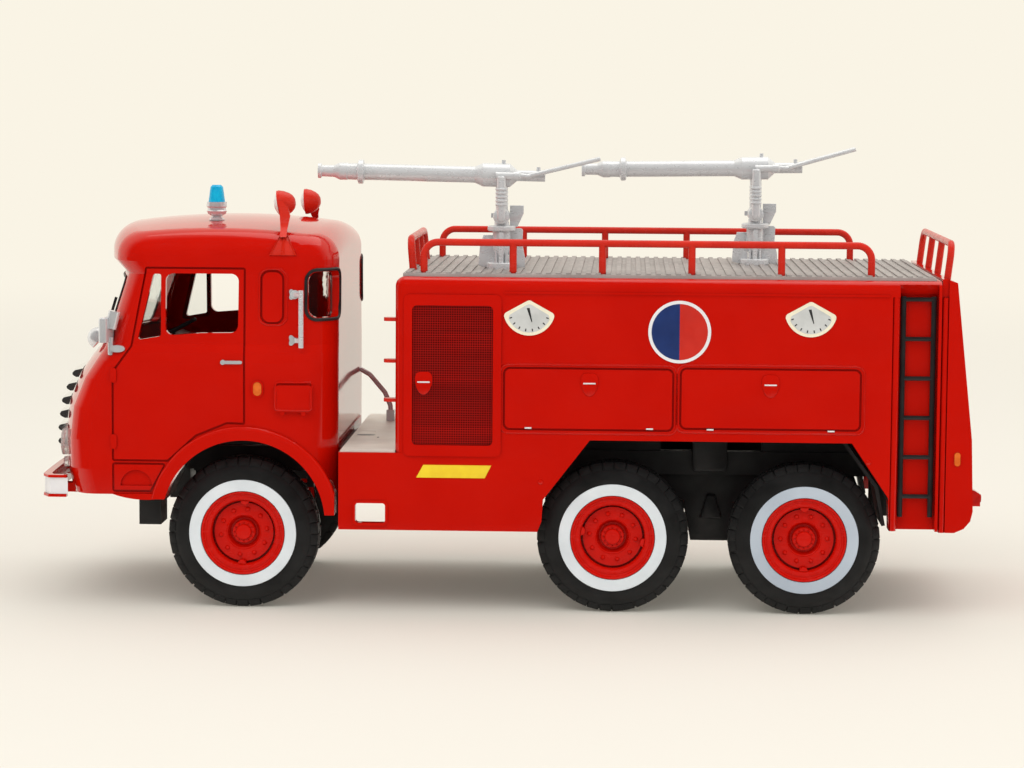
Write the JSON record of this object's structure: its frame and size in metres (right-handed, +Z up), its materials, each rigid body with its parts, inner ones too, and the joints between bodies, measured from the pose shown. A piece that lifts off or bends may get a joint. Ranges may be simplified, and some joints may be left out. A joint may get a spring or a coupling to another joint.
{
  "type": "scale model airport fire truck",
  "caption": "Scale model of a cab-over airport fire truck with free-rolling wheelsets, deck rails, roof water cannons, ladders and a closed equipment body.",
  "frame": {"origin": "on the ground under the middle of the model, midway between the bumper and the tail lamps", "axes": "-X is the front of the truck and +X the rear, -Y its left side, +Z up from the ground the tyres stand on"},
  "size_m": [0.163, 0.0596, 0.0793],
  "materials": {
    "amber_lens": "gloss",
    "axle_steel": "bright",
    "black_plastic": "satin",
    "blue_lens": "transparent",
    "chrome_trim": "polished",
    "clear_glass": "clear",
    "cream_print": "printed",
    "dark_red_plastic": "satin",
    "grey_plastic": "matt",
    "lamp_glass": "clear",
    "red_lens": "gloss",
    "red_paint": "gloss",
    "red_plastic": "satin gloss",
    "silver_paint": "satin",
    "silver_plastic": "satin metallic",
    "steel_pipe": "satin",
    "tyre_rubber": "satin",
    "white_print": "printed",
    "white_rubber": "satin"
  },
  "bodies": {
    "truck": {"beacon_base": "chrome_trim", "beacon_lens": "blue_lens", "body_floor": "black_plastic", "body_shell": "red_paint", "body_steps": "red_plastic", "cab_interior": "dark_red_plastic", "cab_shell": "red_paint", "chassis_frame": "black_plastic", "deck_plate": "grey_plastic", "door_handles": "chrome_trim", "driveline": "black_plastic", "front_bumper": "red_paint", "front_cannon_barrel": "silver_plastic", "front_cannon_stand": "silver_plastic", "front_grille": "chrome_trim", "front_rail": "red_plastic", "grab_handles": "silver_plastic", "handrail_left": "red_plastic", "handrail_right": "red_plastic", "headlamps": "lamp_glass", "intake_pipe": "steel_pipe", "ladder_left": "black_plastic", "ladder_right": "black_plastic", "mirrors": "chrome_trim", "mudguards": "black_plastic", "nose_lamp": "chrome_trim", "rear_cannon_barrel": "silver_plastic", "rear_cannon_stand": "silver_plastic", "rear_lamps": "red_lens", "rear_panel": "red_paint", "rear_rail": "red_plastic", "roof_lamps": "red_plastic", "side_dials": "cream_print", "side_markers": "amber_lens", "side_roundels": "white_print", "side_windows": "clear_glass", "steering_wheel": "black_plastic", "step_plate": "silver_paint", "suspension": "black_plastic", "vent_grilles": "red_paint", "windscreen": "clear_glass", "wipers": "black_plastic"},
    "front_wheelset": {"front_axle": "axle_steel", "front_rims": "red_plastic", "front_tyres": "tyre_rubber", "front_whitewalls": "white_rubber"},
    "middle_wheelset": {"middle_axle": "axle_steel", "middle_rims": "red_plastic", "middle_tyres": "tyre_rubber", "middle_whitewalls": "white_rubber"},
    "rear_wheelset": {"rear_axle": "axle_steel", "rear_rims": "red_plastic", "rear_tyres": "tyre_rubber", "rear_whitewalls": "white_rubber"}
  },
  "joints": [
    {"name": "front_wheels_turn", "type": "hinge", "parent": "truck", "child": "front_wheelset", "pos_m": [-0.0461, 0, 0.013], "axis": [0, 1, 0], "continuous": true},
    {"name": "middle_wheels_turn", "type": "hinge", "parent": "truck", "child": "middle_wheelset", "pos_m": [0.0174, 0, 0.013], "axis": [0, 1, 0], "continuous": true},
    {"name": "rear_wheels_turn", "type": "hinge", "parent": "truck", "child": "rear_wheelset", "pos_m": [0.0501, 0, 0.013], "axis": [0, 1, 0], "continuous": true}
  ]
}
